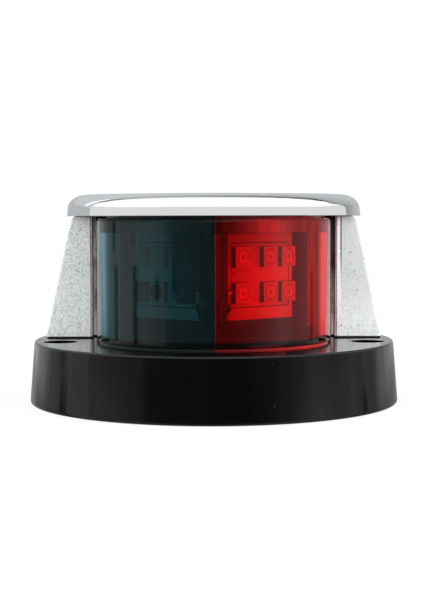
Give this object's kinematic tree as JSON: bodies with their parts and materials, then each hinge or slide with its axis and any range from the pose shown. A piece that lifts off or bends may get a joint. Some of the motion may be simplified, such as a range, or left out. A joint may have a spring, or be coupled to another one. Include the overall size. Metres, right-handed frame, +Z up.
{
  "type": "navigation light",
  "caption": "Deck-mount bicolour bow light: drum lens, red to port and green to starboard, under a bright cap with swept wings on a black oval base.",
  "frame": {"origin": "centre of the base's underside, on the deck surface", "axes": "+Z up, -Y dead ahead (the bow), +X the port side with the red lens, -X the starboard side with the green lens"},
  "size_m": [0.0948, 0.1048, 0.0536],
  "materials": {
    "black_gloss": "polished black moulding",
    "foam": "closed-cell foam",
    "black_rubber": "moulded rubber",
    "bright_plating": "bright plating, rough as cast on the wing faces",
    "green_lens": "clear tinted acrylic",
    "red_lens": "clear tinted acrylic",
    "black_matte": "matt moulding",
    "white_board": "white solder mask on glass laminate",
    "grey_pad": "silicone thermal pad",
    "led_package": "white moulded package",
    "led_resin": "yellow-tinted clear resin",
    "green_board": "green solder mask on glass laminate",
    "resistor_body": "glazed ceramic chip",
    "lead_jacket": "extruded insulation",
    "solder": "bright solder",
    "stainless": "bright stainless steel"
  },
  "bodies": {
    "root": {"base": "black_gloss", "deck_gasket": "foam", "wire_grommet": "black_rubber", "housing": "bright_plating", "housing_seal": "black_rubber", "lens_green": "green_lens", "lens_red": "red_lens", "lens_foot_seal": "black_rubber", "lens_top_seal": "black_rubber", "lens_side_seals": "black_rubber", "led_carrier": "black_matte", "light_baffle": "black_matte", "led_board_red": "white_board", "led_board_green": "white_board", "thermal_pads": "grey_pad", "leds_red": "led_package", "leds_green": "led_package", "led_windows_red": "led_resin", "led_windows_green": "led_resin", "driver_board": "green_board", "resistors": "resistor_body", "diode": "black_matte", "board_leads": "lead_jacket", "solder_joints": "solder", "housing_screws": "stainless", "housing_screw_washers": "stainless", "carrier_screws": "stainless", "driver_board_screws": "stainless"}
  },
  "joints": []
}
